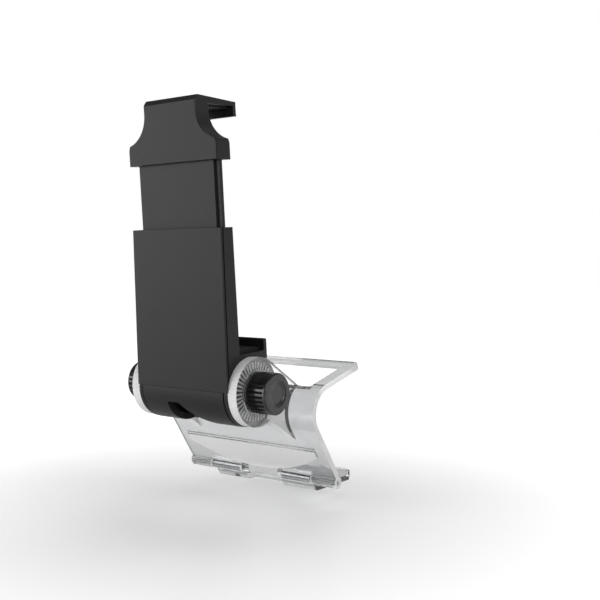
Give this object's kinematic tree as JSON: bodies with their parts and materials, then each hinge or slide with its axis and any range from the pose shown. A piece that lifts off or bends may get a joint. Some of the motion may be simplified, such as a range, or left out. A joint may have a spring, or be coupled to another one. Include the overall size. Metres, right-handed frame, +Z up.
{
  "type": "controller phone clip",
  "caption": "Clip that holds a phone above a game controller: a black spring clamp that tilts between two knobs, on a clear moulded cradle with a latch flap.",
  "frame": {"origin": "foremost point of the cradle's inner bend face, on the centre plane, where the controller's front edge seats", "axes": "X along the hinge, +Y towards the player, +Z up as the controller is held"},
  "size_m": [0.06, 0.0665, 0.12],
  "materials": {
    "satin_black": "satin moulded",
    "slider_black": "semi-gloss moulded",
    "knob_black": "satin moulded",
    "dark_plastic": "matt moulded",
    "pad_rubber": "matt",
    "spring_steel": "bright drawn",
    "screw_steel": "zinc plated",
    "clear_plastic": "clear polished"
  },
  "bodies": {
    "cradle": {"cradle": "clear_plastic", "hinge_pin_left": "screw_steel", "hinge_pin_right": "screw_steel"},
    "clamp": {"front_cover": "satin_black", "hinge_body": "satin_black", "back_pad": "pad_rubber", "lower_jaw_pad": "pad_rubber", "ratchet_ring_left": "dark_plastic", "ratchet_ring_right": "dark_plastic", "nut_left": "screw_steel", "nut_right": "screw_steel", "spring_left": "spring_steel", "spring_right": "spring_steel"},
    "jaw": {"slider": "slider_black", "upper_jaw": "satin_black", "upper_jaw_pad": "pad_rubber", "jaw_screws": "screw_steel"},
    "knob_left": {"knob_left": "knob_black", "knob_cap_left": "dark_plastic", "knob_screw_left": "screw_steel"},
    "knob_right": {"knob_right": "knob_black", "knob_cap_right": "dark_plastic", "knob_screw_right": "screw_steel"},
    "flap": {"latch_flap": "clear_plastic"}
  },
  "joints": [
    {"name": "clamp_tilt", "type": "hinge", "parent": "cradle", "child": "clamp", "pos_m": [0, -0.0159, 0.008], "axis": [1, 0, 0], "range_deg": [-50, 75]},
    {"name": "jaw_slide", "type": "slide", "parent": "clamp", "child": "jaw", "axis": [0, -0.0732, 0.9973], "range_m": [-0.0188, 0.009], "deforming": ["spring_left", "spring_right"]},
    {"name": "knob_left_turn", "type": "hinge", "parent": "clamp", "child": "knob_left", "pos_m": [-0.0245, -0.0159, 0.008], "axis": [-1, 0, 0], "range_deg": [0, 720]},
    {"name": "knob_right_turn", "type": "hinge", "parent": "clamp", "child": "knob_right", "pos_m": [0.0245, -0.0159, 0.008], "axis": [1, 0, 0], "range_deg": [0, 720]},
    {"name": "flap_hinge", "type": "hinge", "parent": "cradle", "child": "flap", "pos_m": [0, 0.01183, -0.02264], "axis": [1, 0, 0], "range_deg": [-145, 110]}
  ]
}
